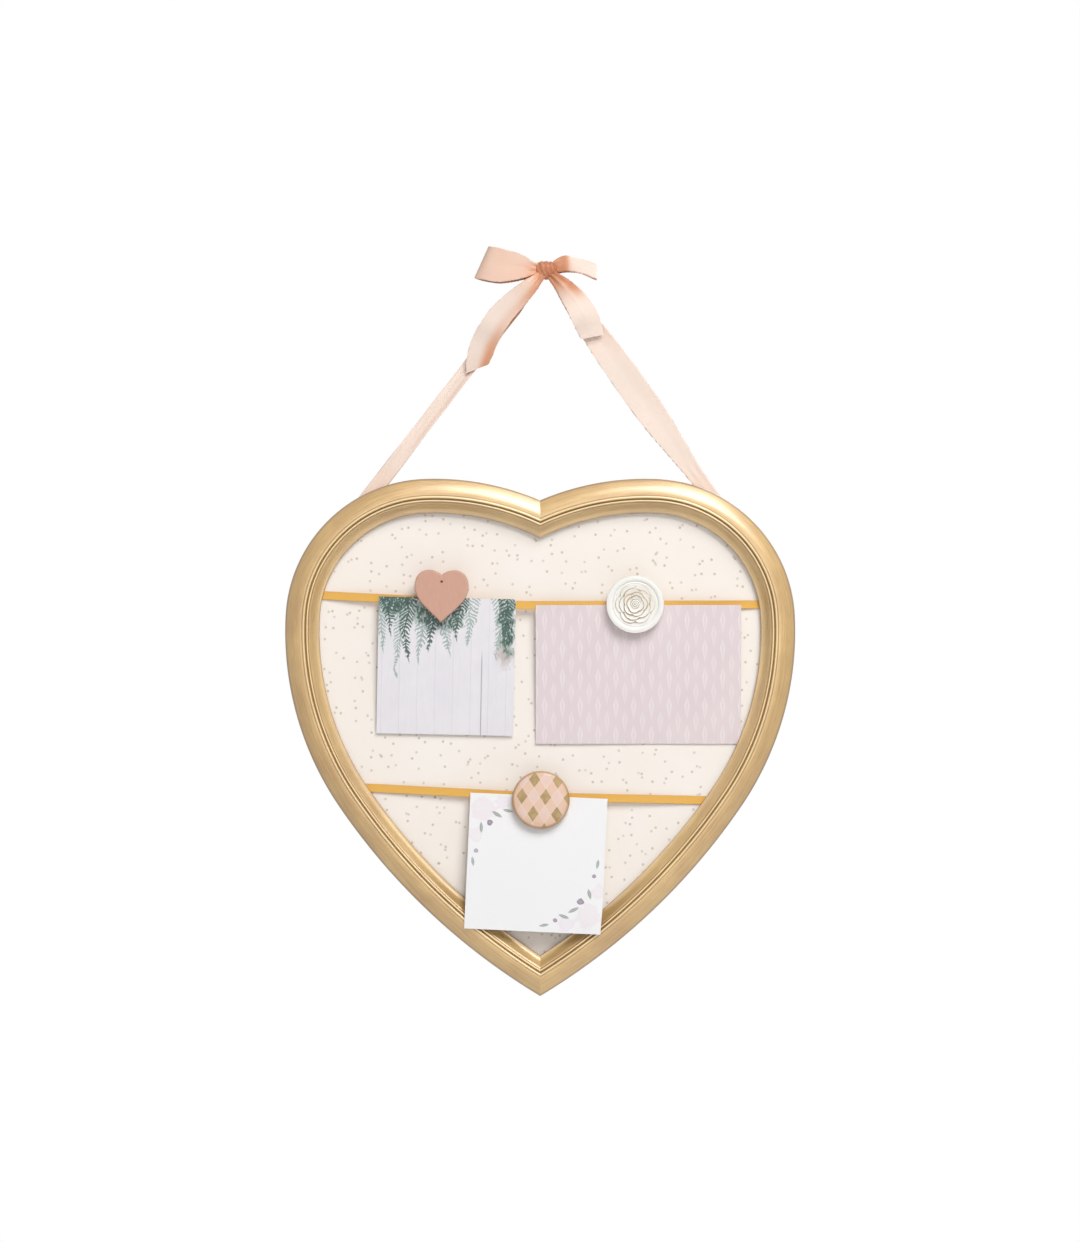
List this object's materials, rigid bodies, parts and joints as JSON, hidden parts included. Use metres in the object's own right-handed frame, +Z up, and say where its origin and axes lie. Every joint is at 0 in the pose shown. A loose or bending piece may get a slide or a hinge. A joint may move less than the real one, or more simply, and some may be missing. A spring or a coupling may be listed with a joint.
{
  "type": "multi-photo frame",
  "caption": "Heart-shaped gilded wall frame with a dotted cloth panel, elastic bands and charm-topped mini pegs holding prints, hung by a satin ribbon bow.",
  "frame": {"origin": "where the ribbon hangs on its nail, just under the bow's knot, in the plane of the wall", "axes": "+Z up, +Y into the wall (the front faces -Y), +X to the right as seen from the front"},
  "size_m": [0.3718, 0.0235, 0.5469],
  "materials": {
    "gilt": "antique gold leaf on wood, satin",
    "zinc": "plain zinc plated",
    "wire": "drawn wire",
    "board": "hardboard, unfinished",
    "dotted_cloth": "fine plain weave with small gold dots",
    "mustard_elastic": "woven flat elastic",
    "blush_satin": "double-faced satin ribbon",
    "birch": "plain sanded birch",
    "pink_wood": "dusty pink paint, matte",
    "white_resin": "cast resin with a little gold wash",
    "lattice_paper": "printed paper under clear resin",
    "photo_paper": "photo print, semi-gloss",
    "lilac_paper": "printed card, matte",
    "white_paper": "printed card, matte"
  },
  "bodies": {
    "frame_body": {"left_rail": "gilt", "right_rail": "gilt", "cleft_fastener": "zinc", "tip_fastener": "zinc", "backing_panel": "board", "panel_cloth": "dotted_cloth", "upper_band": "mustard_elastic", "lower_band": "mustard_elastic", "upper_left_screw": "zinc", "upper_right_screw": "zinc", "lower_left_screw": "zinc", "lower_right_screw": "zinc", "ribbon_knot": "blush_satin", "ribbon_left_strand": "blush_satin", "ribbon_left_staple": "zinc", "ribbon_right_strand": "blush_satin", "ribbon_right_staple": "zinc", "bow_left_loop": "blush_satin", "bow_right_loop": "blush_satin", "bow_left_tail": "blush_satin", "bow_right_tail": "blush_satin"},
    "upper_left_turn": {"upper_left_button": "zinc"},
    "upper_right_turn": {"upper_right_button": "zinc"},
    "lower_left_turn": {"lower_left_button": "zinc"},
    "lower_right_turn": {"lower_right_button": "zinc"},
    "heart_peg": {"heart_peg_back": "birch", "heart_peg_spring": "wire"},
    "heart_jaw": {"heart_peg_front": "birch", "heart_charm": "pink_wood"},
    "photo": {"photo_print": "photo_paper"},
    "rose_peg": {"rose_peg_back": "birch", "rose_peg_spring": "wire"},
    "rose_jaw": {"rose_peg_front": "birch", "rose_disc": "white_resin"},
    "lilac": {"lilac_card": "lilac_paper"},
    "lattice_peg": {"lattice_peg_back": "birch", "lattice_peg_spring": "wire"},
    "lattice_jaw": {"lattice_peg_front": "birch", "lattice_disc": "lattice_paper"},
    "floral": {"floral_card": "white_paper"}
  },
  "joints": [
    {"name": "upper_left_button_turn", "type": "hinge", "parent": "frame_body", "child": "upper_left_turn", "pos_m": [-0.04139, 0, -0.15768], "axis": [0, 1, 0], "range_deg": [-90, 90]},
    {"name": "upper_right_button_turn", "type": "hinge", "parent": "frame_body", "child": "upper_right_turn", "pos_m": [0.04139, 0, -0.15768], "axis": [0, 1, 0], "range_deg": [-90, 90]},
    {"name": "lower_left_button_turn", "type": "hinge", "parent": "frame_body", "child": "lower_left_turn", "pos_m": [-0.07553, 0, -0.44842], "axis": [0, 1, 0], "range_deg": [-90, 90]},
    {"name": "lower_right_button_turn", "type": "hinge", "parent": "frame_body", "child": "lower_right_turn", "pos_m": [0.07553, 0, -0.44842], "axis": [0, 1, 0], "range_deg": [-90, 90]},
    {"name": "heart_peg_slide", "type": "slide", "parent": "frame_body", "child": "heart_peg", "axis": [0.9988, 0, -0.0486], "range_m": [-0.02, 0.006]},
    {"name": "heart_jaw_open", "type": "hinge", "parent": "heart_peg", "child": "heart_jaw", "pos_m": [-0.07185, -0.01369, -0.22515], "axis": [-0.9998, 0, 0.0209], "range_deg": [0, 12], "stiffness_Nm_per_rad": 0.1, "springref_deg": -25.78, "deforming": ["heart_peg_spring"]},
    {"name": "photo_pull", "type": "slide", "parent": "heart_peg", "child": "photo", "axis": [-0.0208, 0.0482, -0.9986], "range_m": [0, 0.02]},
    {"name": "rose_peg_slide", "type": "slide", "parent": "frame_body", "child": "rose_peg", "axis": [1, 0, 0.003], "range_m": [-0.006, 0]},
    {"name": "rose_jaw_open", "type": "hinge", "parent": "rose_peg", "child": "rose_jaw", "pos_m": [0.0692, -0.01376, -0.2279], "axis": [-1, 0, 0], "range_deg": [0, 12], "stiffness_Nm_per_rad": 0.1, "springref_deg": -25.78, "deforming": ["rose_peg_spring"]},
    {"name": "lilac_pull", "type": "slide", "parent": "rose_peg", "child": "lilac", "axis": [0, 0.059, -0.9983], "range_m": [0, 0.004]},
    {"name": "lattice_peg_slide", "type": "slide", "parent": "frame_body", "child": "lattice_peg", "axis": [0.999, 0, -0.0454], "range_m": [-0.002, 0.002]},
    {"name": "lattice_jaw_open", "type": "hinge", "parent": "lattice_peg", "child": "lattice_jaw", "pos_m": [0.00092, -0.01284, -0.3678], "axis": [-0.999, 0, 0.0454], "range_deg": [0, 12], "stiffness_Nm_per_rad": 0.1, "springref_deg": -25.78, "deforming": ["lattice_peg_spring"]},
    {"name": "floral_pull", "type": "slide", "parent": "lattice_peg", "child": "floral", "axis": [-0.0452, -0.073, -0.9963], "range_m": [0, 0.016]}
  ]
}
